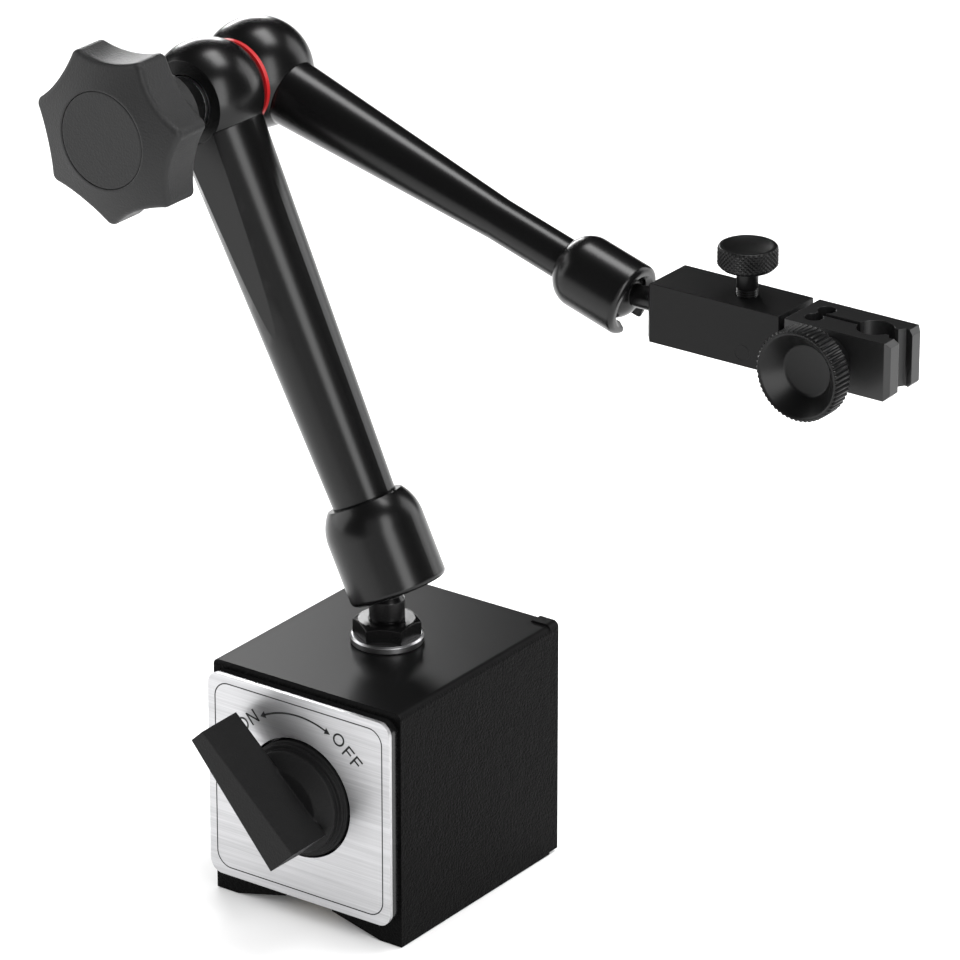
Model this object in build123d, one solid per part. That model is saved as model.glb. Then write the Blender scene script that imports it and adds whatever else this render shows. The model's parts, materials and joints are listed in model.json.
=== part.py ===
from build123d import *
import math
import os

# Articulated holder for a dial indicator on a switchable magnetic base.
# Millimetres, +Z up, +X to the right of the switch side, switch on the -Y side.
# The origin is the middle of the V groove in the pole faces, on the plane they rest on.

# ---------------------------------------------------------------- driving dimensions
BASE_W, BASE_D, BASE_H = 50.0, 58.0, 55.0      # standard 50 x 58 x 55 magnet body
FOOT_W = 5.8                                   # width of each pole face
SLOT_HALF, SLOT_TOP = 6.3, 9.0                 # open slot between the poles
GROOVE_RISE = 3.2                              # height of the V groove flanks
TOP_ROUND = 1.4                                # radius of the long top edges
REAR_CAP_T, EAR_RISE, EAR_W = 3.0, 0.5, 5.4    # cast rear cap with a low ear at each corner
ROTOR_Z, ROTOR_BORE_R = 29.8, 15.2             # bore for the magnet rotor
ROTOR_R, SHAFT_R = 15.0, 4.0
BUSH_T = 4.0
RUN = 0.05                                     # radial running clearance
PLATE_W, PLATE_Z0, PLATE_Z1 = 48.5, 5.6, 53.5  # front frame and face plate
PLATE_R, FRAME_T, PLATE_T = 3.0, 2.2, 0.9
DIAL_HOLE_R = 13.8
KNOB_STEPS = ((13.2, 1.4), (12.6, 0.8), (11.6, 1.5))   # radius and height of each step
HANDLE_FRONT = 47.3                            # front of the paddle handle, from mid-depth
HANDLE_TIP, HANDLE_TAIL = 22.4, 10.2           # reach along and against the pointer
HANDLE_TIP_W, HANDLE_TAIL_W, HANDLE_DRAFT = 4.2, 8.3, 0.9
SWITCH_ON_ANGLE = 43.3                         # pointer leans this far left of vertical

WASHER_R, WASHER_T = 8.0, 1.8
NUT_AF, NUT_T, STUD_R = 13.0, 3.6, 4.0         # M8 stud and lock nut
NECK_R, WAIST_R, NECK_TOP = 3.9, 3.25, 65.1
BALL1_R, BALL1_Z = 8.3, 74.8

LOWER_LEAN, LOWER_LEN = 26.0, 106.6            # lower arm, from ball centre to elbow axis
COLLAR1_R, COLLAR1_RIM, COLLAR1_TOP = 10.9, 7.8, 13.3
COLLAR1_TOP_R, LOWER_TUBE_R0, LOWER_TUBE_R1 = 8.5, 7.1, 9.45
ARM_FLAT = 8.2                                 # flats milled on the lower tube
ROD_R, SEAT_GAP = 2.5, 0.12

HUB_R, HUB_FACE, HUB_FRONT = 12.25, 8.2, 7.8   # elbow balls and their flats
RED_WASHER_R, RED_WASHER_T = 9.7, 1.0
BOLT_R, HUB_BORE_R, WEDGE_BORE_R = 3.95, 4.0, 6.4
KNOB_BOSS_R, KNOB_BOSS_Y, STAR_BACK, STAR_FRONT = 9.2, 14.0, 24.7, 36.0
STAR_R, STAR_LOBES, SCALLOP_R, SCALLOP_AT = 20.3, 7, 23.8, 40.4
STAR_SLOPE = 2.6                               # how far the lobes fall back from the cap
STAR_PHASE = 13.4                              # direction of the first lobe
CAP_R, CAP_T = 10.7, 1.6

UPPER_DROP, UPPER_LEN = 17.2, 97.9             # upper arm, from elbow to head ball
UPPER_R0, UPPER_R1, UPPER_TAPER_END = 7.4, 4.6, 67.0
COLLAR2_R, COLLAR2_RIM, COLLAR2_LEN = 8.05, 5.4, 17.8
COLLAR2_END_R, COLLAR2_SHOULDER = 5.2, 5.0     # radius of the small end, length of the shoulder
NOTCH_HALF, NOTCH_TURN = 3.1, 17.5             # side notch in the upper collar, turned from below
BALL2_R, NECK2_R = 6.0, 2.5

BLOCK_X0, BLOCK_L, BLOCK_W, BLOCK_H = 59.3, 32.7, 13.0, 13.0
FORK_X0, FORK_HALF, FORK_ROOF = 71.0, 3.2, 3.3
SCREW_X, SCREW_R, SCREW_GAP = 80.0, 2.3, 6.0
HEAD_R, HEAD_T = 6.4, 4.9
PIVOT_X, PIVOT_UP, PIVOT_R = 83.3, 3.0, 1.75
CLAMP_X0, CLAMP_L, CLAMP_W, CLAMP_Z0, CLAMP_Z1 = 93.5, 25.0, 13.2, 135.5, 148.1
CLAMP_CHAMFER = 1.0
STEM_X, STEM_R = 111.2, 4.0                    # 8 mm indicator stem
HINGE_HOLE_X, HINGE_HOLE_R, HINGE_HOLE_DY = 97.9, 2.0, 2.4
CLAMP_SCREW_X, CLAMP_SCREW_UP, CLAMP_SCREW_R = 105.0, 0.5, 2.0   # a little above the middle
WHEEL_R, WHEEL_Y0, WHEEL_Y1, WHEEL_CUP_R, WHEEL_FLOOR_R = 9.8, -2.4, 2.8, 8.7, 6.4
WHEEL_CUP_DEPTH, WHEEL_FLOOR_T = 4.1, 1.0

# ---------------------------------------------------------------- places worked out
BACK_Y = BASE_D / 2
FRONT_Y = -BASE_D / 2
CAP_Y = BACK_Y - REAR_CAP_T
PLATE_Y = FRONT_Y - FRAME_T
NUT_Z = BASE_H + WASHER_T
LEAN = math.radians(LOWER_LEAN)
DROP = math.radians(UPPER_DROP)
ELBOW_X = -LOWER_LEN * math.sin(LEAN)
ELBOW_Z = BALL1_Z + LOWER_LEN * math.cos(LEAN)
UPPER_Y = 2 * HUB_FACE + RED_WASHER_T
HEAD_X = ELBOW_X + UPPER_LEN * math.cos(DROP)
HEAD_Z = ELBOW_Z - UPPER_LEN * math.sin(DROP)
BLOCK_Z0 = HEAD_Z - BLOCK_H / 2
BLOCK_Z1 = HEAD_Z + BLOCK_H / 2
BLOCK_X1 = BLOCK_X0 + BLOCK_L
PIVOT_Z = BLOCK_Z0 + PIVOT_UP
CLAMP_X1 = CLAMP_X0 + CLAMP_L
CLAMP_ZM = (CLAMP_Z0 + CLAMP_Z1) / 2
WHEEL_Z = CLAMP_ZM + CLAMP_SCREW_UP

LOWER = Pos(0, 0, BALL1_Z) * Rot(0, -LOWER_LEAN, 0)           # local Z runs up the lower arm
UPPER = Pos(ELBOW_X, UPPER_Y, ELBOW_Z) * Rot(0, 90 + UPPER_DROP, 0)   # Z runs to the head


def cyl_z(r, z0, z1, x=0.0, y=0.0):
    return Pos(x, y, (z0 + z1) / 2) * Cylinder(r, z1 - z0)


def cyl_y(r, y0, y1, x=0.0, z=0.0):
    return Pos(x, (y0 + y1) / 2, z) * Rot(90, 0, 0) * Cylinder(r, y1 - y0)


def cyl_x(r, x0, x1, y=0.0, z=0.0):
    return Pos((x0 + x1) / 2, y, z) * Rot(0, 90, 0) * Cylinder(r, x1 - x0)


def block(x0, x1, y0, y1, z0, z1):
    middle = Pos((x0 + x1) / 2, (y0 + y1) / 2, (z0 + z1) / 2)
    return middle * Box(x1 - x0, y1 - y0, z1 - z0)


def turned(*points):
    """A solid of revolution about Z from (radius, height) points."""
    outline = Polyline(*[(r, 0, z) for r, z in points], close=True)
    return revolve(make_face(outline), Axis.Z)


def turned_y(*points):
    """A solid of revolution about Y from (radius, y) points."""
    outline = Polyline(*[(r, y, 0) for r, y in points], close=True)
    return revolve(make_face(outline), Axis.Y)


# ---------------------------------------------------------------- magnetic base
def base_section(top):
    """The full end profile of the magnet body, with the V groove and the slot."""
    half = BASE_W / 2
    foot = half - FOOT_W
    right = [(SLOT_HALF, SLOT_TOP), (SLOT_HALF, GROOVE_RISE), (foot, 0), (half, 0), (half, top)]
    left = [(-x, z) for x, z in reversed(right)]
    return make_face(Polyline(*[(x, 0, z) for x, z in right + left], close=True))


def base_body(y0, y1, top):
    body = Pos(0, y1, 0) * extrude(base_section(top), y1 - y0, dir=(0, -1, 0))
    corners = body.edges().filter_by(Axis.Y).group_by(Axis.Z)[-1]
    return fillet(corners, TOP_ROUND)


def base_pieces():
    body = base_body(FRONT_Y, CAP_Y, BASE_H)
    body -= cyl_y(ROTOR_BORE_R, FRONT_Y - 1, CAP_Y + 1, z=ROTOR_Z)
    body -= cyl_z(STUD_R, BASE_H - 9.5, BASE_H + 1)
    right_side = block(SLOT_HALF, BASE_W, FRONT_Y - 1, CAP_Y + 1, -1, BASE_H + 1)
    left_side = block(-BASE_W, -SLOT_HALF, FRONT_Y - 1, CAP_Y + 1, -1, BASE_H + 1)
    middle = block(-SLOT_HALF, SLOT_HALF, FRONT_Y - 1, CAP_Y + 1, -1, BASE_H + 1)
    spacers = (body & middle).solids().sort_by(Axis.Z)
    return {
        "pole_right": body & right_side,
        "pole_left": body & left_side,
        "lower_spacer": spacers[0],
        "upper_spacer": spacers[-1],
    }


def rear_cap():
    cap = base_body(CAP_Y, BACK_Y, BASE_H + EAR_RISE)
    cap -= block(-BASE_W, BASE_W, CAP_Y - 1, BACK_Y + 1, -1, 0.5)
    inner = BASE_W / 2 - EAR_W
    dip = [(-inner - EAR_RISE, BASE_H + EAR_RISE), (-inner, BASE_H), (inner, BASE_H),
           (inner + EAR_RISE, BASE_H + EAR_RISE)]
    trench = make_face(Polyline(*[(x, BACK_Y + 1, z) for x, z in dip], close=True))
    return cap - extrude(trench, REAR_CAP_T + 2, dir=(0, -1, 0))


def rounded_plate(y0, y1, hole_r):
    size_z = PLATE_Z1 - PLATE_Z0
    sheet = RectangleRounded(PLATE_W, size_z, PLATE_R)
    outline = Plane.XZ * Pos(0, (PLATE_Z0 + PLATE_Z1) / 2, 0) * sheet
    plate = Pos(0, y1, 0) * extrude(outline, y1 - y0)
    return plate - cyl_y(hole_r, y0 - 1, y1 + 1, z=ROTOR_Z)


def bush(y0, y1):
    return cyl_y(ROTOR_BORE_R, y0, y1, z=ROTOR_Z) - cyl_y(SHAFT_R + RUN, y0 - 1, y1 + 1, z=ROTOR_Z)


# ---------------------------------------------------------------- switch
ROTOR_Y0 = FRONT_Y + BUSH_T + 0.4
ROTOR_Y1 = CAP_Y - BUSH_T - 0.4
MAGNET_HALF = 5.0
KNOB_Y = PLATE_Y + 0.1                         # back of the switch knob, inside the plate's hole
HANDLE_BACK = -36.8                            # where the paddle meets the cone behind it
SHAFT_FRONT = -38.0
PIN_Y = KNOB_Y - 3.4                           # cross pin through the smallest step of the knob
PIN_R, PIN_HALF = 1.0, 9.5


def rotor_pieces():
    rotor = cyl_y(ROTOR_R, ROTOR_Y0, ROTOR_Y1, z=ROTOR_Z)
    rotor -= cyl_y(SHAFT_R, ROTOR_Y0 - 1, ROTOR_Y1 + 1, z=ROTOR_Z)
    low, high = ROTOR_Z - BASE_W, ROTOR_Z + BASE_W
    slab = block(-MAGNET_HALF, MAGNET_HALF, ROTOR_Y0 - 1, ROTOR_Y1 + 1, low, high)
    right_side = block(MAGNET_HALF, BASE_W, ROTOR_Y0 - 1, ROTOR_Y1 + 1, low, high)
    left_side = block(-BASE_W, -MAGNET_HALF, ROTOR_Y0 - 1, ROTOR_Y1 + 1, low, high)
    return {
        "rotor_magnet": rotor & slab,
        "rotor_shoe_right": rotor & right_side,
        "rotor_shoe_left": rotor & left_side,
    }


def handle_section(y, extra):
    """The paddle's outline at one depth: a long wedge, narrow at the pointer."""
    tip, tail = HANDLE_TIP_W / 2 + extra, HANDLE_TAIL_W / 2 + extra
    corners = [(-tip, HANDLE_TIP), (tip, HANDLE_TIP), (tail, -HANDLE_TAIL), (-tail, -HANDLE_TAIL)]
    return make_face(Polyline(*[(x, y, z) for x, z in corners], close=True))


def switch_knob():
    knob = None
    y = KNOB_Y
    for radius, height in KNOB_STEPS:
        step = cyl_y(radius, y - height, y)
        knob = step if knob is None else knob + step
        y -= height
    hub_r = KNOB_STEPS[-1][0]
    knob += turned_y((0, y + 0.2), (hub_r, y + 0.2), (hub_r, y), (hub_r - 4.0, HANDLE_BACK),
                     (0, HANDLE_BACK))
    knob += loft([handle_section(-HANDLE_FRONT, 0), handle_section(HANDLE_BACK + 0.3, HANDLE_DRAFT)])
    knob -= cyl_y(SHAFT_R, SHAFT_FRONT, KNOB_Y + 1)
    knob -= cyl_z(PIN_R, -PIN_HALF, PIN_HALF, y=PIN_Y)
    return Pos(0, 0, ROTOR_Z) * Rot(0, -SWITCH_ON_ANGLE, 0) * knob


def switch_pin():
    pin = cyl_z(PIN_R, -PIN_HALF, PIN_HALF, y=PIN_Y)
    return Pos(0, 0, ROTOR_Z) * Rot(0, -SWITCH_ON_ANGLE, 0) * pin


def switch_shaft():
    shaft = cyl_y(SHAFT_R, SHAFT_FRONT, CAP_Y - 0.4, z=ROTOR_Z)
    hole = cyl_z(PIN_R, -PIN_HALF, PIN_HALF, y=PIN_Y)
    return shaft - Pos(0, 0, ROTOR_Z) * Rot(0, -SWITCH_ON_ANGLE, 0) * hole


# ---------------------------------------------------------------- stud on the base
def stud_washer():
    r, z0, z1 = WASHER_R, BASE_H, NUT_Z
    washer = turned((STUD_R + 0.2, z0), (r - 0.25, z0), (r, z0 + 0.25), (r, z1 - 0.4), (r - 0.4, z1),
                    (STUD_R + 0.2, z1))
    return washer


def lock_nut():
    hexagon = Pos(0, 0, NUT_Z) * extrude(RegularPolygon(NUT_AF / 2, 6, major_radius=False), NUT_T)
    corner_r = NUT_AF / math.sqrt(3)
    top = NUT_Z + NUT_T
    drop = (corner_r - NUT_AF / 2) * math.tan(math.radians(30))
    cone = turned((0, NUT_Z - 1), (corner_r + 1, NUT_Z - 1), (corner_r + 1, top - drop - 0.58),
                  (NUT_AF / 2 - 0.3, top), (0, top))
    return (Rot(0, 0, 30) * hexagon & cone) - cyl_z(STUD_R, NUT_Z - 1, top + 1)


def lower_ball_stud():
    top = NUT_Z + NUT_T
    stud = turned((0, BASE_H - 9), (STUD_R - 0.6, BASE_H - 9), (STUD_R, BASE_H - 8.4), (STUD_R, top),
                  (NECK_R - 0.5, top), (NECK_R, top + 0.5), (NECK_R, NECK_TOP), (WAIST_R, NECK_TOP + 1.0),
                  (WAIST_R, BALL1_Z), (0, BALL1_Z))
    return stud + Pos(0, 0, BALL1_Z) * Sphere(BALL1_R)


# ---------------------------------------------------------------- lower arm, local Z along the arm
CAVITY_R = BALL1_R + SEAT_GAP
CAVITY_TOP = 11.3
FLANGE_Z0 = 10.0
SHOULDER_Z = 6.6


def shoulder_arc(full_r, end_r, full_z, end_z):
    """An arc that leaves a collar's side without a corner and ends on its small end."""
    reach = abs(end_z - full_z)
    radius = ((full_r - end_r) ** 2 + reach ** 2) / (2 * (full_r - end_r))
    swing = math.asin(reach / radius) / 2
    side = math.copysign(radius * math.sin(swing), end_z - full_z)
    middle = (full_r - radius * (1 - math.cos(swing)), 0, full_z + side)
    return ThreePointArc((full_r, 0, full_z), middle, (end_r, 0, end_z))


def lower_collar():
    r, low = COLLAR1_R, -COLLAR1_RIM
    rim_edge = 1.2
    bend = rim_edge * (1 - math.sin(math.radians(45)))
    lines = Polyline((0, 0, COLLAR1_TOP), (0, 0, low), (r - rim_edge, 0, low))
    lines += ThreePointArc((r - rim_edge, 0, low), (r - bend, 0, low + bend), (r, 0, low + rim_edge))
    lines += Line((r, 0, low + rim_edge), (r, 0, SHOULDER_Z))
    lines += shoulder_arc(r, COLLAR1_TOP_R, SHOULDER_Z, COLLAR1_TOP)
    lines += Line((COLLAR1_TOP_R, 0, COLLAR1_TOP), (0, 0, COLLAR1_TOP))
    collar = revolve(make_face(lines), Axis.Z)
    collar -= Sphere(CAVITY_R)
    collar -= cyl_z(CAVITY_R, 0, CAVITY_TOP)
    collar -= cyl_z(LOWER_TUBE_R0, 0, COLLAR1_TOP + 1)
    collar -= turned((0, low - 1), (10.0, low - 1), (7.3, low + 2), (7.3, low + 4), (0, low + 4))
    return LOWER * collar


def lower_ball_seat():
    seat = cyl_z(CAVITY_R - 0.1, 4.5, 9.5) - Sphere(CAVITY_R)
    return LOWER * seat


def lower_push_rod():
    rod_end = LOWER_LEN - WEDGE_BORE_R - 0.4
    return LOWER * turned((0, 9.5), (ROD_R, 9.5), (ROD_R, rod_end - 1.5), (1.0, rod_end), (0, rod_end))


def lower_tube():
    tube = turned((0, FLANGE_Z0), (CAVITY_R - 0.1, FLANGE_Z0), (CAVITY_R - 0.1, CAVITY_TOP - RUN),
                  (LOWER_TUBE_R0 - RUN, CAVITY_TOP - RUN), (LOWER_TUBE_R0 - RUN, COLLAR1_TOP + 0.1),
                  (LOWER_TUBE_R0 + 0.02, COLLAR1_TOP + 0.3), (LOWER_TUBE_R1, LOWER_LEN - 8.2),
                  (LOWER_TUBE_R1, LOWER_LEN), (0, LOWER_LEN))
    tube -= cyl_z(ROD_R + RUN, FLANGE_Z0 - 1, LOWER_LEN + 1)
    tube -= Pos(0, 0, LOWER_LEN) * Sphere(HUB_R)
    side = block(-20, 20, ARM_FLAT, 20, 20, LOWER_LEN)
    tube -= side
    tube -= mirror(side, about=Plane.XZ)
    return LOWER * tube


def lower_elbow_hub():
    hub = Sphere(HUB_R)
    hub -= block(-20, 20, -20, -HUB_FRONT, -20, 20)
    hub -= block(-20, 20, HUB_FACE, 20, -20, 20)
    hub -= cyl_y(HUB_BORE_R, -20, 20)
    hub -= cyl_y(WEDGE_BORE_R, -20, 4.0)
    hub -= cyl_z(ROD_R + 0.2, -20, 0)
    return LOWER * Pos(0, 0, LOWER_LEN) * hub


# ---------------------------------------------------------------- elbow, axis along Y
def at_elbow(shape):
    return Pos(ELBOW_X, 0, ELBOW_Z) * shape


def friction_washer():
    ring = cyl_y(RED_WASHER_R, HUB_FACE, HUB_FACE + RED_WASHER_T)
    return at_elbow(ring - cyl_y(BOLT_R + RUN, 0, 20))


BOLT_HEAD_Y = UPPER_Y + HUB_FRONT
BOLT_TIP_Y = -28.0


def tie_bolt():
    bolt = turned_y((0, BOLT_TIP_Y), (BOLT_R - 0.6, BOLT_TIP_Y), (BOLT_R, BOLT_TIP_Y + 0.6),
                    (BOLT_R, BOLT_HEAD_Y), (7.0, BOLT_HEAD_Y), (7.0, BOLT_HEAD_Y + 2.4),
                    (6.0, BOLT_HEAD_Y + 3.4), (0, BOLT_HEAD_Y + 3.4))
    socket = Plane.XZ.offset(-(BOLT_HEAD_Y + 4)) * RegularPolygon(2.5, 6, major_radius=False)
    bolt -= extrude(socket, 3.2)
    return at_elbow(bolt)


def wedge_ring(y_small, y_big):
    """A sleeve on the bolt whose cone drives a push rod outward."""
    ring = turned_y((BOLT_R + RUN, y_small), (4.6, y_small), (WEDGE_BORE_R - 0.3, y_big),
                    (BOLT_R + RUN, y_big))
    return at_elbow(ring)


def thrust_washer():
    washer = turned_y((BOLT_R + RUN, -HUB_FRONT - 0.6), (WEDGE_BORE_R - 0.3, -HUB_FRONT - 0.6),
                      (WEDGE_BORE_R - 0.3, -KNOB_BOSS_Y), (BOLT_R + RUN, -KNOB_BOSS_Y))
    return at_elbow(washer)


def star_knob():
    star = Circle(STAR_R + 1)
    for k in range(STAR_LOBES):
        angle = math.radians((k + 0.5) * 360 / STAR_LOBES)
        star -= Pos(SCALLOP_AT * math.cos(angle), SCALLOP_AT * math.sin(angle)) * Circle(SCALLOP_R)
    star = fillet(star.vertices(), 1.8)
    depth = STAR_FRONT - STAR_BACK
    crown = turned((0, -1), (STAR_R + 1, -1), (STAR_R + 1, depth - STAR_SLOPE), (CAP_R + 0.4, depth),
                   (0, depth))
    body = extrude(star, depth) & crown
    slope = body.faces().filter_by(GeomType.CONE)
    body = fillet(slope.edges().filter_by(GeomType.CIRCLE, reverse=True), 1.3)
    body = fillet(body.faces().sort_by(Axis.Z)[0].edges(), 0.8)
    body = Pos(0, -STAR_BACK, 0) * Rot(90, 0, 0) * Rot(0, 0, STAR_PHASE) * body
    boss = turned_y((0, -KNOB_BOSS_Y), (KNOB_BOSS_R - 0.5, -KNOB_BOSS_Y),
                    (KNOB_BOSS_R, -KNOB_BOSS_Y - 0.5), (KNOB_BOSS_R, -STAR_BACK - 1), (0, -STAR_BACK - 1))
    knob = body + boss
    knob -= cyl_y(5.5, -29.5, 0)
    knob -= cyl_y(CAP_R + RUN, -STAR_FRONT - 1, -STAR_FRONT + CAP_T)
    return at_elbow(knob)


def knob_cap():
    r, front, back = CAP_R, -STAR_FRONT, -STAR_FRONT + CAP_T
    return at_elbow(turned_y((0, front), (r - 0.2, front), (r, front + 0.2), (r, back), (0, back)))


def knob_insert():
    insert = cyl_y(5.5, -29.5, -KNOB_BOSS_Y) - cyl_y(BOLT_R + RUN, -29.0, 0)
    return at_elbow(insert)


# ---------------------------------------------------------------- upper arm, local Z along the arm
CAVITY2_R = BALL2_R + SEAT_GAP
COLLAR2_Z0 = UPPER_LEN + COLLAR2_RIM - COLLAR2_LEN
CAVITY2_Z0 = UPPER_LEN - 9.0


def upper_elbow_hub():
    hub = Sphere(HUB_R)
    hub -= block(-20, 20, HUB_FRONT, 20, -20, 20)
    hub -= block(-20, 20, -20, -HUB_FACE, -20, 20)
    hub -= cyl_y(BOLT_R, -20, 20)
    hub -= cyl_y(WEDGE_BORE_R, -4.0, 20)
    hub -= cyl_z(ROD_R + 0.2, 0, 20)
    return UPPER * hub


def upper_tube():
    tube = turned((0, 0), (UPPER_R0, 0), (UPPER_R0, 9.5), (UPPER_R1, UPPER_TAPER_END),
                  (UPPER_R1, COLLAR2_Z0 - 0.3), (UPPER_R1 - 0.2 - RUN, COLLAR2_Z0 - 0.1),
                  (UPPER_R1 - 0.2 - RUN, CAVITY2_Z0 - 1.6), (CAVITY2_R - 0.1, CAVITY2_Z0 - 1.6),
                  (CAVITY2_R - 0.1, CAVITY2_Z0), (0, CAVITY2_Z0))
    tube -= cyl_z(ROD_R + RUN, -1, UPPER_LEN)
    return UPPER * (tube - Sphere(HUB_R))


def upper_push_rod():
    start, end = WEDGE_BORE_R + 0.4, UPPER_LEN - 7.0
    return UPPER * turned((0, start), (1.0, start), (ROD_R, start + 1.5), (ROD_R, end), (0, end))


def upper_ball_seat():
    seat = cyl_z(CAVITY2_R - 0.1, UPPER_LEN - 7.0, UPPER_LEN - 3.2)
    return UPPER * (seat - Pos(0, 0, UPPER_LEN) * Sphere(CAVITY2_R))


def upper_collar():
    r, z0, z1 = COLLAR2_R, COLLAR2_Z0, UPPER_LEN + COLLAR2_RIM
    rim_edge = 1.2
    full = z0 + COLLAR2_SHOULDER
    bend = rim_edge * (1 - math.sin(math.radians(45)))
    lines = Polyline((0, 0, z1), (0, 0, z0), (COLLAR2_END_R, 0, z0))
    lines += shoulder_arc(r, COLLAR2_END_R, full, z0)
    lines += Line((r, 0, full), (r, 0, z1 - rim_edge))
    lines += ThreePointArc((r, 0, z1 - rim_edge), (r - bend, 0, z1 - bend), (r - rim_edge, 0, z1))
    lines += Line((r - rim_edge, 0, z1), (0, 0, z1))
    collar = revolve(make_face(lines), Axis.Z)
    collar -= Pos(0, 0, UPPER_LEN) * Sphere(CAVITY2_R)
    collar -= cyl_z(CAVITY2_R, CAVITY2_Z0 - 1.6 - RUN, UPPER_LEN)
    collar -= cyl_z(UPPER_R1 - 0.2, z0 - 1, UPPER_LEN)
    collar -= turned((0, z1 - 2), (5.2, z1 - 2), (5.2, z1 - 1.0), (6.9, z1 + 0.7), (0, z1 + 0.7))
    notch_z = UPPER_LEN + 0.5
    notch = block(0, 20, -NOTCH_HALF, NOTCH_HALF, notch_z, z1 + 1) + cyl_x(NOTCH_HALF, 0, 20, z=notch_z)
    return UPPER * (collar - Rot(0, 0, NOTCH_TURN) * notch)


# ---------------------------------------------------------------- head: fine-adjust block
def upper_ball_stud():
    stem = BLOCK_X0 + 7.0 - HEAD_X
    meet = math.sqrt(BALL2_R ** 2 - NECK2_R ** 2)
    lines = ThreePointArc((0, 0, -BALL2_R), (BALL2_R, 0, 0), (NECK2_R, 0, meet))
    lines += Polyline((NECK2_R, 0, meet), (NECK2_R, 0, stem), (0, 0, stem), (0, 0, -BALL2_R))
    stud = revolve(make_face(lines), Axis.Z)
    return Pos(HEAD_X, UPPER_Y, HEAD_Z) * Rot(0, 90, 0) * stud


def fine_adjust_block():
    half = BLOCK_W / 2
    body = block(BLOCK_X0, BLOCK_X1, UPPER_Y - half, UPPER_Y + half, BLOCK_Z0, BLOCK_Z1)
    left = body.faces().sort_by(Axis.X)[0]
    body = chamfer(left.edges(), 0.9)
    fork = block(FORK_X0, BLOCK_X1 + 1, UPPER_Y - FORK_HALF, UPPER_Y + FORK_HALF, BLOCK_Z0 - 1,
                 BLOCK_Z1 - FORK_ROOF)
    body -= fork
    body -= cyl_x(NECK2_R + RUN, BLOCK_X0 - 1, BLOCK_X0 + 7.2, UPPER_Y, HEAD_Z)
    body -= cyl_z(SCREW_R + RUN, BLOCK_Z1 - FORK_ROOF - 1, BLOCK_Z1 + 1, SCREW_X, UPPER_Y)
    body -= cyl_y(PIVOT_R, UPPER_Y - half - 1, UPPER_Y + half + 1, PIVOT_X, PIVOT_Z)
    return body


def pivot_pin():
    half = BLOCK_W / 2
    return cyl_y(PIVOT_R, UPPER_Y - half, UPPER_Y + half, PIVOT_X, PIVOT_Z)


TONGUE_HALF = FORK_HALF - 0.1
TONGUE_TOP = BLOCK_Z1 - FORK_ROOF - 2.2
PAD_Z0 = TONGUE_TOP + 0.12
PAD_T = 1.2
PAD_R = 1.2
SPRING_X, SPRING_R, SPRING_WIRE, SPRING_H = 86.8, 1.5, 0.2, 0.9


def swivel_pad():
    return cyl_z(PAD_R, PAD_Z0, PAD_Z0 + PAD_T, SCREW_X, UPPER_Y)


def thumb_screw():
    head_z = BLOCK_Z1 + SCREW_GAP
    top = head_z + HEAD_T
    turned_screw = turned((0, PAD_Z0 + PAD_T + 0.05), (SCREW_R - 0.4, PAD_Z0 + PAD_T + 0.05),
                          (SCREW_R, PAD_Z0 + PAD_T + 0.45), (SCREW_R, head_z), (HEAD_R - 1.0, head_z),
                          (HEAD_R, head_z + 1.0), (HEAD_R, top - 0.5), (HEAD_R - 0.5, top), (0, top))
    return Pos(SCREW_X, UPPER_Y, 0) * turned_screw


def return_spring():
    """A short coil between the roof of the block and the tongue, drawn at its shortest."""
    top = BLOCK_Z1 - FORK_ROOF - SPRING_WIRE
    path = Helix(SPRING_H / 2, SPRING_H, SPRING_R, center=(0, 0, 0))
    profile = Plane(origin=path @ 0, z_dir=path % 0) * Circle(SPRING_WIRE)
    return Pos(SPRING_X, UPPER_Y, top - SPRING_H) * sweep(profile, path=path, is_frenet=True)


def clamp_body():
    half = CLAMP_W / 2
    body = block(CLAMP_X0, CLAMP_X1, UPPER_Y - half, UPPER_Y + half, CLAMP_Z0, CLAMP_Z1)
    right = body.faces().sort_by(Axis.X)[-1]
    body = chamfer(right.edges(), CLAMP_CHAMFER)
    tongue = block(FORK_X0 + 1.0, CLAMP_X0 + 1, UPPER_Y - TONGUE_HALF, UPPER_Y + TONGUE_HALF,
                   BLOCK_Z0 + 0.3, TONGUE_TOP)
    body += tongue
    body -= cyl_y(PIVOT_R + RUN, UPPER_Y - 20, UPPER_Y + 20, PIVOT_X, PIVOT_Z)
    low, high = CLAMP_Z0 - 1, CLAMP_Z1 + 1
    for side in (-1, 1):
        body -= cyl_z(HINGE_HOLE_R, low, high, HINGE_HOLE_X, UPPER_Y + side * HINGE_HOLE_DY)
    body -= block(HINGE_HOLE_X - 0.9, HINGE_HOLE_X + 0.9, UPPER_Y - HINGE_HOLE_DY,
                  UPPER_Y + HINGE_HOLE_DY, low, high)
    body -= block(HINGE_HOLE_X, CLAMP_X1, UPPER_Y - 0.65, UPPER_Y + 0.65, low, high)
    body -= cyl_z(STEM_R, low, high, STEM_X, UPPER_Y)
    outline = [(CLAMP_X1 + 1, 2.1), (CLAMP_X1 - 1.6, 3.25), (CLAMP_X1 - 2.0, 3.25), (CLAMP_X1 - 2.9, 1.8),
               (STEM_X, 1.8)]
    points = [(x, UPPER_Y + y, low) for x, y in outline]
    points += [(x, UPPER_Y - y, low) for x, y in reversed(outline)]
    body -= extrude(make_face(Polyline(*points, close=True)), high - low, dir=(0, 0, 1))
    body -= cyl_y(CLAMP_SCREW_R + RUN, UPPER_Y - 20, UPPER_Y + 20, CLAMP_SCREW_X, WHEEL_Z)
    return body


def clamp_screw():
    start = WHEEL_Y0 + WHEEL_CUP_DEPTH + WHEEL_FLOOR_T
    return cyl_y(CLAMP_SCREW_R, start, UPPER_Y + CLAMP_W / 2 - 0.4, CLAMP_SCREW_X, WHEEL_Z)


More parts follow.
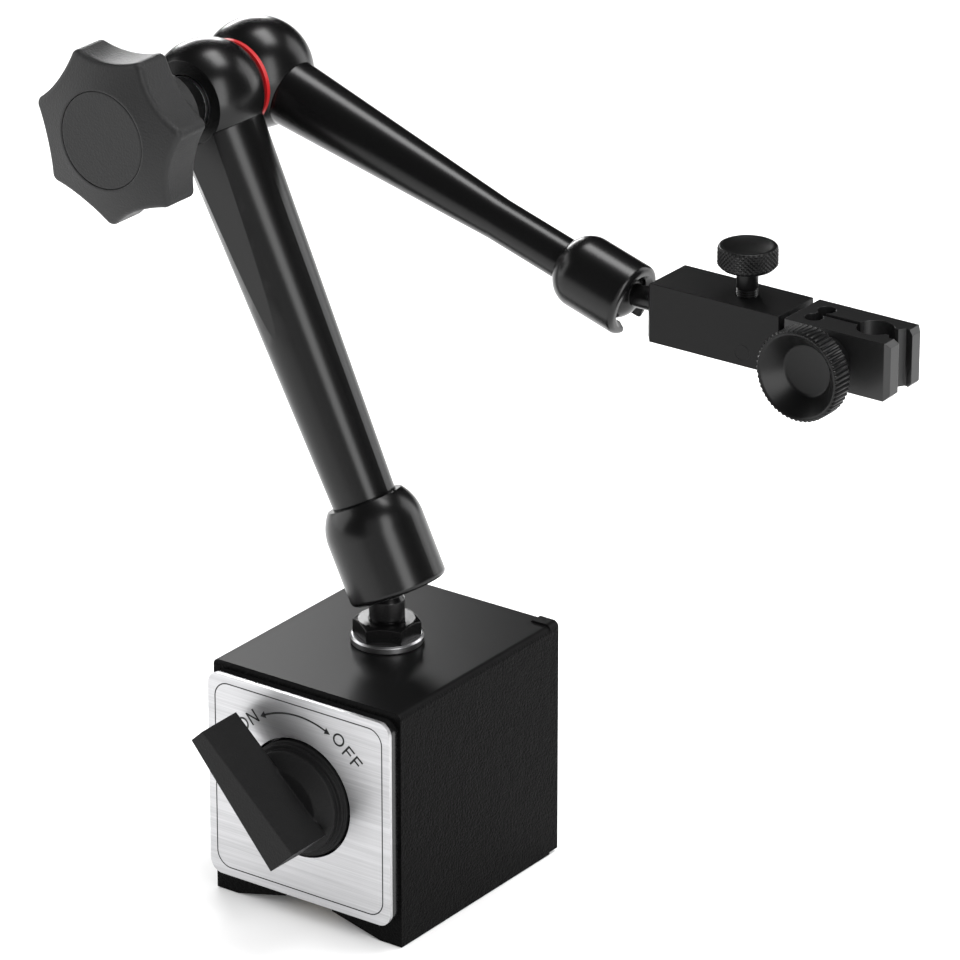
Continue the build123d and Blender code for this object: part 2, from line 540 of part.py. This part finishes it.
def clamp_wheel():
    floor_y = WHEEL_Y0 + WHEEL_CUP_DEPTH
    boss_y = UPPER_Y - CLAMP_W / 2 - 0.3
    wheel = turned_y((0, floor_y), (WHEEL_FLOOR_R, floor_y), (WHEEL_CUP_R, WHEEL_Y0 + 0.4),
                     (WHEEL_CUP_R + 0.3, WHEEL_Y0), (WHEEL_R - 0.3, WHEEL_Y0), (WHEEL_R, WHEEL_Y0 + 0.3),
                     (WHEEL_R, WHEEL_Y1 - 0.3), (WHEEL_R - 0.3, WHEEL_Y1), (4.6, WHEEL_Y1),
                     (4.6, boss_y), (CLAMP_SCREW_R, boss_y), (CLAMP_SCREW_R, floor_y + WHEEL_FLOOR_T),
                     (0, floor_y + WHEEL_FLOOR_T))
    return Pos(CLAMP_SCREW_X, 0, WHEEL_Z) * wheel


# ---------------------------------------------------------------- all the pieces
def pieces():
    made = base_pieces()
    made.update(rotor_pieces())
    made.update({
        "rear_cap": rear_cap(),
        "front_frame": rounded_plate(PLATE_Y, FRONT_Y, ROTOR_BORE_R),
        "face_plate": rounded_plate(PLATE_Y - PLATE_T, PLATE_Y, DIAL_HOLE_R),
        "front_bush": bush(FRONT_Y, FRONT_Y + BUSH_T),
        "rear_bush": bush(CAP_Y - BUSH_T, CAP_Y),
        "switch_shaft": switch_shaft(),
        "switch_knob": switch_knob(),
        "switch_pin": switch_pin(),
        "stud_washer": stud_washer(),
        "stud_lock_nut": lock_nut(),
        "lower_ball_stud": lower_ball_stud(),
        "lower_collar": lower_collar(),
        "lower_ball_seat": lower_ball_seat(),
        "lower_push_rod": lower_push_rod(),
        "lower_tube": lower_tube(),
        "lower_elbow_hub": lower_elbow_hub(),
        "friction_washer": friction_washer(),
        "tie_bolt": tie_bolt(),
        "lower_wedge": wedge_ring(3.6, -HUB_FRONT - 0.6),
        "upper_wedge": wedge_ring(UPPER_Y - 3.9, BOLT_HEAD_Y),
        "thrust_washer": thrust_washer(),
        "star_knob": star_knob(),
        "knob_cap": knob_cap(),
        "knob_insert": knob_insert(),
        "upper_elbow_hub": upper_elbow_hub(),
        "upper_tube": upper_tube(),
        "upper_push_rod": upper_push_rod(),
        "upper_ball_seat": upper_ball_seat(),
        "upper_collar": upper_collar(),
        "upper_ball_stud": upper_ball_stud(),
        "fine_adjust_block": fine_adjust_block(),
        "pivot_pin": pivot_pin(),
        "return_spring": return_spring(),
        "swivel_pad": swivel_pad(),
        "thumb_screw": thumb_screw(),
        "clamp_body": clamp_body(),
        "clamp_screw": clamp_screw(),
        "clamp_wheel": clamp_wheel(),
    })
    return made


os.makedirs("parts", exist_ok=True)
for name, shape in pieces().items():
    export_step(shape, f"parts/{name}.step")
print("elbow", round(ELBOW_X, 3), round(UPPER_Y, 3), round(ELBOW_Z, 3))
print("head ball", round(HEAD_X, 3), round(HEAD_Z, 3))
print("pivot", PIVOT_X, round(PIVOT_Z, 3), "clamp mid", round(CLAMP_ZM, 3))
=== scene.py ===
import json
import math

import bpy
from mathutils import Matrix, Vector


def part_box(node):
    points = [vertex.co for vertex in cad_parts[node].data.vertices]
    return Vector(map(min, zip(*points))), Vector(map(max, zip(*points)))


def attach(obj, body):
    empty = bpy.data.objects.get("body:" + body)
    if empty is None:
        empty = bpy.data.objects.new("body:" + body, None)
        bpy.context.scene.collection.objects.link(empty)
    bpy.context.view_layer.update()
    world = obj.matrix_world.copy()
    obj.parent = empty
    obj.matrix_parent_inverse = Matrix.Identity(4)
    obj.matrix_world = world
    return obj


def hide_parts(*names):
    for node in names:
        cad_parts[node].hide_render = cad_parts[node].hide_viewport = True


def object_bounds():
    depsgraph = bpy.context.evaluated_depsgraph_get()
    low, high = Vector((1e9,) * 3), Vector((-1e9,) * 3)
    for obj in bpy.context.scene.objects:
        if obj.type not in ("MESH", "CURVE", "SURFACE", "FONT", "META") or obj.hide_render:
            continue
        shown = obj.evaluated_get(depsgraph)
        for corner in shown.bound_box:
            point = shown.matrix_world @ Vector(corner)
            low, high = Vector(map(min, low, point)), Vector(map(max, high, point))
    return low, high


# Articulated indicator holder on a switchable magnetic base.
# The CAD nodes are the frame. This script gives them their finishes, swaps the two
# knurled thumb parts for detailed ones and adds the printing on the face plate.

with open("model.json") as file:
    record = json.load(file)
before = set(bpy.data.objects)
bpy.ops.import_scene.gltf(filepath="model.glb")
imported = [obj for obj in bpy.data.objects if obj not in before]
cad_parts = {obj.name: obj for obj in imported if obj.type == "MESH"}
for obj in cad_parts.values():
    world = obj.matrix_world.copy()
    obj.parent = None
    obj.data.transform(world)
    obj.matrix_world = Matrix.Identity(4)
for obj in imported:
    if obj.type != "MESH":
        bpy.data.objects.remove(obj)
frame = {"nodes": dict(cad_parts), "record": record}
cad_box = [list(corner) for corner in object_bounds()]
nodes = frame["nodes"]
joints = {joint["name"]: joint for joint in frame["record"]["behaviour"]["joints"]}
MM = 0.001
scene = bpy.context.scene


# ---------------------------------------------------------------- camera
def make_camera():
    azimuth, elevation = math.radians(35.735), math.radians(23.155)
    back = Vector((math.sin(azimuth) * math.cos(elevation),
                   -math.cos(azimuth) * math.cos(elevation), math.sin(elevation)))
    data = bpy.data.cameras.new("camera")
    data.sensor_width = 36.0
    data.lens = 234.07
    data.clip_start, data.clip_end = 0.05, 50.0
    camera = bpy.data.objects.new("camera", data)
    scene.collection.objects.link(camera)
    camera.location = Vector((733.88, -985.54, 618.13)) * MM
    camera.rotation_mode = "QUATERNION"
    camera.rotation_quaternion = (-back).to_track_quat("-Z", "Y")
    scene.camera = camera


make_camera()


# ---------------------------------------------------------------- material helpers
class Recipe:
    """A principled material, with the few nodes that these finishes need."""

    def __init__(self, name, color, roughness, specular=0.5, metallic=0.0):
        self.material = bpy.data.materials.new(name)
        self.material.use_nodes = True
        self.tree = self.material.node_tree
        self.shader = self.tree.nodes["Principled BSDF"]
        self.shader.inputs["Base Color"].default_value = (*color, 1.0)
        self.shader.inputs["Roughness"].default_value = roughness
        self.shader.inputs["Specular IOR Level"].default_value = specular
        self.shader.inputs["Metallic"].default_value = metallic
        self.material.diffuse_color = (*color, 1.0)
        self.normal = None

    def add(self, kind, **values):
        node = self.tree.nodes.new(kind)
        for key, value in values.items():
            setattr(node, key, value)
        return node

    def link(self, a, b):
        self.tree.links.new(a, b)

    def place(self, scale=(1.0, 1.0, 1.0)):
        """Object coordinates in millimetres, times scale."""
        coordinates = self.add("ShaderNodeTexCoord")
        mapping = self.add("ShaderNodeMapping")
        mapping.inputs["Scale"].default_value = tuple(s / MM for s in scale)
        self.link(coordinates.outputs["Object"], mapping.inputs["Vector"])
        return mapping.outputs["Vector"]

    def noise(self, per_mm, detail=2.0, scale=(1.0, 1.0, 1.0), distortion=0.0):
        node = self.add("ShaderNodeTexNoise")
        node.inputs["Scale"].default_value = per_mm
        node.inputs["Detail"].default_value = detail
        node.inputs["Distortion"].default_value = distortion
        self.link(self.place(scale), node.inputs["Vector"])
        return node.outputs["Fac"]

    def ramp(self, value, low, high, out_low, out_high):
        node = self.add("ShaderNodeMapRange")
        node.inputs["From Min"].default_value = low
        node.inputs["From Max"].default_value = high
        node.inputs["To Min"].default_value = out_low
        node.inputs["To Max"].default_value = out_high
        self.link(value, node.inputs["Value"])
        return node.outputs["Result"]

    def math(self, operation, a, b):
        node = self.add("ShaderNodeMath", operation=operation)
        for socket, value in zip(node.inputs, (a, b)):
            if isinstance(value, (int, float)):
                socket.default_value = value
            else:
                self.link(value, socket)
        return node.outputs["Value"]

    def soft_edges(self, radius_mm):
        node = self.add("ShaderNodeBevel", samples=6)
        node.inputs["Radius"].default_value = radius_mm * MM
        self.normal = node.outputs["Normal"]
        self.link(self.normal, self.shader.inputs["Normal"])
        return self

    def bump(self, height, depth_mm, strength=1.0):
        node = self.add("ShaderNodeBump")
        node.inputs["Strength"].default_value = strength
        node.inputs["Distance"].default_value = depth_mm * MM
        self.link(height, node.inputs["Height"])
        if self.normal is not None:
            self.link(self.normal, node.inputs["Normal"])
        self.normal = node.outputs["Normal"]
        self.link(self.normal, self.shader.inputs["Normal"])
        return self

    def roughen(self, value, low, high):
        self.link(self.ramp(value, 0.3, 0.7, low, high), self.shader.inputs["Roughness"])
        return self

    def tint(self, value, dark, light):
        node = self.add("ShaderNodeMix", data_type="RGBA")
        node.inputs["A"].default_value = (*dark, 1.0)
        node.inputs["B"].default_value = (*light, 1.0)
        self.link(self.ramp(value, 0.3, 0.7, 0.0, 1.0), node.inputs["Factor"])
        self.link(node.outputs["Result"], self.shader.inputs["Base Color"])
        return self


def grey(value):
    return (value, value, value * 1.03)


# ---------------------------------------------------------------- finishes
def body_paint():
    """Fine wrinkle paint on the sides, smooth satin on the ground top face."""
    recipe = Recipe("body_paint", grey(0.005), 0.62, 0.05)
    fine = recipe.noise(1.6, 4.0, distortion=0.4)
    coarse = recipe.noise(0.35, 2.0)
    height = recipe.math("ADD", fine, recipe.math("MULTIPLY", coarse, 0.5))
    split = recipe.add("ShaderNodeSeparateXYZ")
    recipe.link(recipe.place(), split.inputs["Vector"])
    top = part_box("pole_left")[1].z / MM
    side = recipe.ramp(split.outputs["Z"], top - 1.3, top - 0.4, 1.0, 0.0)
    wrinkle = recipe.math("MULTIPLY", height, side)
    recipe.bump(wrinkle, 0.45, 1.0)
    recipe.link(recipe.ramp(side, 0.0, 1.0, 0.36, 0.60), recipe.shader.inputs["Roughness"])
    mix = recipe.add("ShaderNodeMix", data_type="RGBA")
    mix.inputs["A"].default_value = (*grey(0.0045), 1.0)
    mix.inputs["B"].default_value = (*grey(0.0015), 1.0)
    recipe.link(side, mix.inputs["Factor"])
    recipe.link(mix.outputs["Result"], recipe.shader.inputs["Base Color"])
    return recipe.material


def gloss_black():
    """Semi-gloss black oxide on the turned parts."""
    recipe = Recipe("gloss_black", grey(0.003), 0.27, 0.30).soft_edges(0.25)
    recipe.bump(recipe.noise(0.9, 2.0), 0.01, 0.25)
    return recipe.material


def satin_black():
    """Satin anodised black on the milled parts."""
    recipe = Recipe("satin_black", grey(0.004), 0.40, 0.16).soft_edges(0.22)
    recipe.bump(recipe.noise(3.0, 3.0), 0.02, 0.4)
    return recipe.material


def satin_clamp():
    recipe = Recipe("satin_clamp", grey(0.006), 0.36, 0.45).soft_edges(0.18)
    recipe.bump(recipe.noise(5.0, 3.0), 0.02, 0.5)
    return recipe.material


def knob_plastic(name="knob_plastic", value=0.010, specular=0.30):
    """Fine-textured moulded plastic."""
    recipe = Recipe(name, grey(value), 0.50, specular).soft_edges(0.6)
    recipe.bump(recipe.noise(2.4, 4.0), 0.16, 0.6)
    return recipe.material


def frame_black():
    recipe = Recipe("frame_black", grey(0.004), 0.22, 0.4).soft_edges(0.3)
    return recipe.material


def brushed_plate():
    """Bright aluminium, brushed along X."""
    recipe = Recipe("brushed_plate", (0.66, 0.66, 0.67), 0.38, 0.5, 1.0)
    streaks = recipe.noise(1.0, 4.0, scale=(0.05, 4.5, 4.5))
    broad = recipe.noise(1.0, 2.0, scale=(0.02, 0.9, 0.9))
    both = recipe.math("ADD", recipe.math("MULTIPLY", streaks, 0.6),
                       recipe.math("MULTIPLY", broad, 0.4))
    recipe.tint(both, (0.44, 0.44, 0.45), (0.58, 0.58, 0.59))
    recipe.roughen(both, 0.46, 0.32)
    recipe.bump(streaks, 0.01, 0.35)
    return recipe.material


def bright_steel():
    recipe = Recipe("bright_steel", (0.50, 0.50, 0.51), 0.32, 0.5, 1.0).soft_edges(0.12)
    return recipe.material


def plain(name, color, roughness, specular=0.5, metallic=0.0):
    return Recipe(name, color, roughness, specular, metallic).material


finishes = {
    "body_paint": body_paint(),
    "gloss_black": gloss_black(),
    "satin_black": satin_black(),
    "satin_clamp": satin_clamp(),
    "knob_plastic": knob_plastic(),
    "switch_plastic": knob_plastic("switch_plastic", 0.005, 0.16),
    "frame_black": frame_black(),
    "brushed_plate": brushed_plate(),
    "bright_steel": bright_steel(),
    "red": plain("friction_red", (0.36, 0.006, 0.008), 0.45),
    "brass": plain("brass", (0.78, 0.56, 0.25), 0.3, 0.5, 1.0),
    "ferrite": plain("ferrite", grey(0.06), 0.7, 0.3),
    "ink": plain("plate_ink", grey(0.010), 0.5, 0.3),
}

assignment = {
    "body_paint": ("pole_left", "pole_right", "upper_spacer", "rear_cap"),
    "gloss_black": ("lower_collar", "lower_tube", "lower_elbow_hub", "upper_elbow_hub",
                    "upper_tube", "upper_collar", "tie_bolt", "stud_lock_nut",
                    "lower_ball_stud", "upper_ball_stud", "thrust_washer",
                    "front_bush"),
    "satin_black": ("fine_adjust_block", "pivot_pin", "clamp_screw"),
    "satin_clamp": ("clamp_body",),
    "knob_plastic": ("star_knob", "knob_cap"),
    "switch_plastic": ("switch_knob",),
    "frame_black": ("front_frame",),
    "brushed_plate": ("face_plate",),
    "bright_steel": ("stud_washer", "switch_shaft", "switch_pin", "rotor_shoe_left",
                     "rotor_shoe_right", "lower_push_rod", "upper_push_rod", "lower_wedge",
                     "upper_wedge", "return_spring"),
    "red": ("friction_washer",),
    "brass": ("lower_spacer", "rear_bush", "lower_ball_seat",
              "upper_ball_seat", "swivel_pad", "knob_insert"),
    "ferrite": ("rotor_magnet",),
}


def paint(obj, finish):
    obj.data.materials.clear()
    obj.data.materials.append(finishes[finish])


for finish, names in assignment.items():
    for name in names:
        paint(nodes[name], finish)


# ---------------------------------------------------------------- mesh helpers
def make_object(name, points, faces, finish, body, smooth_angle=35.0):
    """A mesh piece from points in millimetres in the row frame."""
    mesh = bpy.data.meshes.new(name)
    mesh.from_pydata([tuple(c * MM for c in p) for p in points], [], faces)
    mesh.validate()
    mesh.update()
    piece = bpy.data.objects.new(name, mesh)
    scene.collection.objects.link(piece)
    mesh.materials.append(finishes[finish])
    mesh.shade_smooth()
    mesh.set_sharp_from_angle(angle=math.radians(smooth_angle))
    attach(piece, body)
    return piece


def swept_rings(rings):
    """Faces between rings of equal length, closed round each ring."""
    count = len(rings[0])
    points = [p for ring in rings for p in ring]
    faces = []
    for k in range(len(rings) - 1):
        for i in range(count):
            j = (i + 1) % count
            faces.append((k * count + i, k * count + j, (k + 1) * count + j, (k + 1) * count + i))
    return points, faces


# ---------------------------------------------------------------- knurled thumb screw
def triangle(value):
    """A wave from 0 to 1 and back, once for each whole number."""
    return abs(2 * (value - math.floor(value)) - 1)


def thumb_screw():
    low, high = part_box("thumb_screw")
    x, y = (low.x + high.x) / 2 / MM, (low.y + high.y) / 2 / MM
    z0, z1 = low.z / MM, high.z / MM
    head_r, shank_r, head_t = (high.x - low.x) / 2 / MM, 2.3, 4.9
    head_z = z1 - head_t
    teeth, around = 40, 320
    pitch = 2 * math.pi * head_r / teeth
    depth = 0.32
    rings = []

    def ring(radius, z, knurl):
        row = []
        for i in range(around):
            turn = i / around * teeth
            lean = (z - head_z) / pitch
            cut = max(triangle(turn + lean), triangle(turn - lean)) * knurl * depth
            angle = 2 * math.pi * i / around
            r = radius - cut
            row.append((x + r * math.cos(angle), y + r * math.sin(angle), z))
        rings.append(row)

    ring(0.01, z0, 0)
    ring(shank_r - 0.4, z0, 0)
    ring(shank_r, z0 + 0.4, 0)
    turns = z0 + 0.8
    while turns < head_z - 4.4:
        ring(shank_r, turns, 0)
        ring(shank_r - 0.25, turns + 0.25, 0)
        turns += 0.5
    ring(shank_r, turns + 0.25, 0)
    ring(shank_r, head_z, 0)
    ring(head_r - 1.0, head_z, 0)
    ring(head_r - 0.45, head_z + 0.45, 0.3)
    rows = 36
    band0, band1 = head_z + 0.95, z1 - 0.45
    for k in range(rows + 1):
        ring(head_r, band0 + (band1 - band0) * k / rows, 1.0)
    ring(head_r - 0.36, z1 - 0.08, 0)
    ring(head_r - 0.5, z1, 0)
    ring(head_r - 1.3, z1, 0)
    ring(head_r - 1.45, z1 - 0.08, 0)
    ring(0.01, z1 - 0.08, 0)
    points, faces = swept_rings(rings)
    piece = make_object("thumb_screw_knurled", points, faces, "satin_knurl", "thumb", 40.0)
    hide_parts("thumb_screw")


# ---------------------------------------------------------------- clamp wheel
def clamp_wheel():
    low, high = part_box("clamp_wheel")
    x, z = (low.x + high.x) / 2 / MM, (low.z + high.z) / 2 / MM
    r, y0 = (high.x - low.x) / 2 / MM, low.y / MM
    boss_y = high.y / MM
    rim_y = y0 + 5.2
    cup_r, floor_r, cup_depth, bore_r = 8.7, 5.6, 4.4, 2.0
    teeth, steps = 56, 8
    profile = [(0.01, y0 + cup_depth, 0), (floor_r - 0.5, y0 + cup_depth, 0),
               (floor_r - 0.1, y0 + cup_depth - 0.12, 0), (floor_r + 0.15, y0 + cup_depth - 0.5, 0),
               (cup_r - 0.05, y0 + 0.4, 0), (cup_r + 0.25, y0 + 0.06, 0), (cup_r + 0.45, y0, 0),
               (r - 0.5, y0, 0), (r - 0.32, y0 + 0.05, 0.3), (r - 0.1, y0 + 0.25, 0.8),
               (r, y0 + 0.45, 1), (r, rim_y - 0.45, 1), (r - 0.1, rim_y - 0.25, 0.8),
               (r - 0.32, rim_y - 0.05, 0.3), (r - 0.5, rim_y, 0), (5.2, rim_y, 0), (4.8, rim_y + 0.1, 0),
               (4.6, rim_y + 0.4, 0), (4.6, boss_y - 0.2, 0), (4.4, boss_y, 0), (bore_r, boss_y, 0)]
    rings = []
    for radius, y, knurl in profile:
        row = []
        for i in range(teeth * steps):
            angle = 2 * math.pi * i / (teeth * steps)
            wave = min(1.0, max(0.0, 0.5 - 1.1 * math.cos(angle * teeth)))
            reach = radius - 0.5 * knurl * wave
            row.append((x + reach * math.cos(angle), y, z + reach * math.sin(angle)))
        rings.append(row)
    points, faces = swept_rings(rings)
    piece = make_object("clamp_wheel_knurled", points, faces, "satin_knurl", "wheel", 40.0)
    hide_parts("clamp_wheel")


finishes["satin_knurl"] = Recipe("satin_knurl", grey(0.003), 0.36, 0.22).material
thumb_screw()
clamp_wheel()


# ---------------------------------------------------------------- printing on the face plate
plate_low, plate_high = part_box("face_plate")
INK_Y = plate_low.y / MM - 0.012
DIAL_Z = joints["switch_turn"]["pos_m"][2] / MM
LINE = 0.46


class Printing:
    """Flat strokes on the plate, in plate coordinates about the dial centre."""

    def __init__(self):
        self.points = []
        self.faces = []

    def polygon(self, corners):
        start = len(self.points)
        self.points += [(x, INK_Y, DIAL_Z + z) for x, z in corners]
        self.faces.append(tuple(range(start, start + len(corners))))

    def stroke(self, path, width=LINE, closed=False):
        """A ribbon along a path, mitred at its corners."""
        count = len(path)
        left, right = [], []
        for i, (x, z) in enumerate(path):
            before = path[i - 1] if (i > 0 or closed) else None
            after = path[(i + 1) % count] if (i < count - 1 or closed) else None
            one = Vector((x - before[0], z - before[1])).normalized() if before else None
            two = Vector((after[0] - x, after[1] - z)).normalized() if after else None
            if one is None:
                one = two
            if two is None:
                two = one
            middle = (one + two).normalized()
            across = Vector((-middle.y, middle.x))
            reach = width / 2 / max(across.dot(Vector((-one.y, one.x))), 0.4)
            left.append((x + across.x * reach, z + across.y * reach))
            right.append((x - across.x * reach, z - across.y * reach))
        last = count if closed else count - 1
        for i in range(last):
            j = (i + 1) % count
            self.polygon([left[i], left[j], right[j], right[i]])


def arc(radius, start, end, steps, centre=(0.0, 0.0), stretch=1.0):
    """Points on an arc; angles in degrees clockwise from straight up."""
    made = []
    for k in range(steps + 1):
        angle = math.radians(start + (end - start) * k / steps)
        made.append((centre[0] + radius * math.sin(angle) * stretch, centre[1] + radius * math.cos(angle)))
    return made


def word(printing, letters, tilt):
    """Straight text turned by tilt degrees; letters are strokes in (along, up)."""
    turn = math.radians(tilt)
    along = (math.cos(turn), -math.sin(turn))
    up = (math.sin(turn), math.cos(turn))
    for path, closed in letters:
        placed = [(u * along[0] + v * up[0], u * along[1] + v * up[1]) for u, v in path]
        printing.stroke(placed, closed=closed)


def letter_o(u, base, height):
    ring = arc((height - LINE) / 2, 0, 360, 40, (u, base + height / 2), 0.98)[:-1]
    return [(ring, True)]


def letter_n(u, base, height):
    top = base + height
    return [([(u, base), (u, top)], False), ([(u, top - 0.12), (u + 2.1, base + 0.12)], False),
            ([(u + 2.1, base), (u + 2.1, top)], False)]


def letter_f(u, base, height):
    top = base + height - LINE / 2
    return [([(u, base), (u, base + height)], False), ([(u, top), (u + 1.95, top)], False),
            ([(u, base + height * 0.52), (u + 1.7, base + height * 0.52)], False)]


def arrow_head(printing, radius, tip, back):
    middle = math.radians(tip)
    root = math.radians(back)
    point = (radius * math.sin(middle), radius * math.cos(middle))
    wide = 0.85
    inner = ((radius - wide) * math.sin(root), (radius - wide) * math.cos(root))
    outer = ((radius + wide) * math.sin(root), (radius + wide) * math.cos(root))
    printing.polygon([point, inner, outer] if tip < back else [point, outer, inner])


def plate_printing():
    printing = Printing()
    cap, base = 3.1, 18.3
    word(printing, letter_o(-2.25, base, cap) + letter_n(0.15, base, cap), -41.0)
    word(printing, letter_o(-2.5, base, cap) + letter_f(0.15, base - 0.2, cap)
         + letter_f(2.9, base - 0.2, cap), 40.3)
    radius = 19.35
    printing.stroke(arc(radius, -28.5, 24.0, 48))
    arrow_head(printing, radius, -31.3, -26.8)
    arrow_head(printing, radius, 26.6, 22.1)
    inset, corner = 1.95, 3.6
    x1 = plate_high.x / MM - inset
    z1 = plate_high.z / MM - inset - DIAL_Z
    z0 = plate_low.z / MM + inset - DIAL_Z
    border = []
    for cx, cz, start in ((x1 - corner, z1 - corner, 0), (x1 - corner, z0 + corner, 90),
                          (corner - x1, z0 + corner, 180), (corner - x1, z1 - corner, 270)):
        border += arc(corner, start, start + 90, 12, (cx, cz))
    printing.stroke(border, 0.28, closed=True)
    make_object("plate_printing", printing.points, printing.faces, "ink", "base")


plate_printing()


# ---------------------------------------------------------------- studio
def make_floor():
    size = 6.0
    mesh = bpy.data.meshes.new("floor")
    mesh.from_pydata([(-size, -size, 0), (size, -size, 0), (size, size, 0), (-size, size, 0)], [], [(0, 1, 2, 3)])
    floor = bpy.data.objects.new("floor", mesh)
    floor.location.z = cad_box[0][2] - 0.0002
    scene.collection.objects.link(floor)
    mesh.materials.append(plain("floor", (0.86, 0.86, 0.86), 0.9, 0.0))


def soft_light(name, place, aim, size, power):
    data = bpy.data.lights.new(name, "AREA")
    data.shape = "RECTANGLE"
    data.size, data.size_y = size
    data.energy = power
    light = bpy.data.objects.new(name, data)
    light.location = place
    direction = Vector(aim) - Vector(place)
    light.rotation_mode = "QUATERNION"
    light.rotation_quaternion = direction.to_track_quat("-Z", "Y")
    scene.collection.objects.link(light)


def make_world():
    world = bpy.data.worlds.new("studio")
    scene.world = world
    world.use_nodes = True
    background = world.node_tree.nodes["Background"]
    background.inputs["Color"].default_value = (1.0, 1.0, 1.0, 1.0)
    background.inputs["Strength"].default_value = 0.85
    world.cycles_visibility.glossy = False


def around(azimuth, elevation, distance):
    """A place round the object: azimuth 0 is the switch side and 90 its right."""
    a, e = math.radians(azimuth), math.radians(elevation)
    return (distance * math.sin(a) * math.cos(e), -distance * math.cos(a) * math.cos(e),
            0.1 + distance * math.sin(e))


CENTRE = (0.02, 0.0, 0.1)
make_floor()
make_world()
soft_light("right_strip", around(66, 22, 1.2), CENTRE, (0.46, 1.2), 11.5)
soft_light("front_panel", around(28, 20, 1.2), CENTRE, (0.6, 1.0), 1.2)
soft_light("left_panel", around(-66, 18, 1.2), CENTRE, (1.1, 0.9), 8.0)
soft_light("overhead", (0.1, 0.35, 1.5), CENTRE, (0.9, 0.5), 16.0)
soft_light("back_right", around(155, 20, 1.5), CENTRE, (0.7, 1.1), 7.0)
soft_light("back_left", around(-132, 20, 0.45), (-0.03, 0.0, 0.055), (0.18, 0.08), 0.75)
scene.view_settings.view_transform = "Standard"
scene.view_settings.look = "None"
scene.view_settings.exposure = 0.0
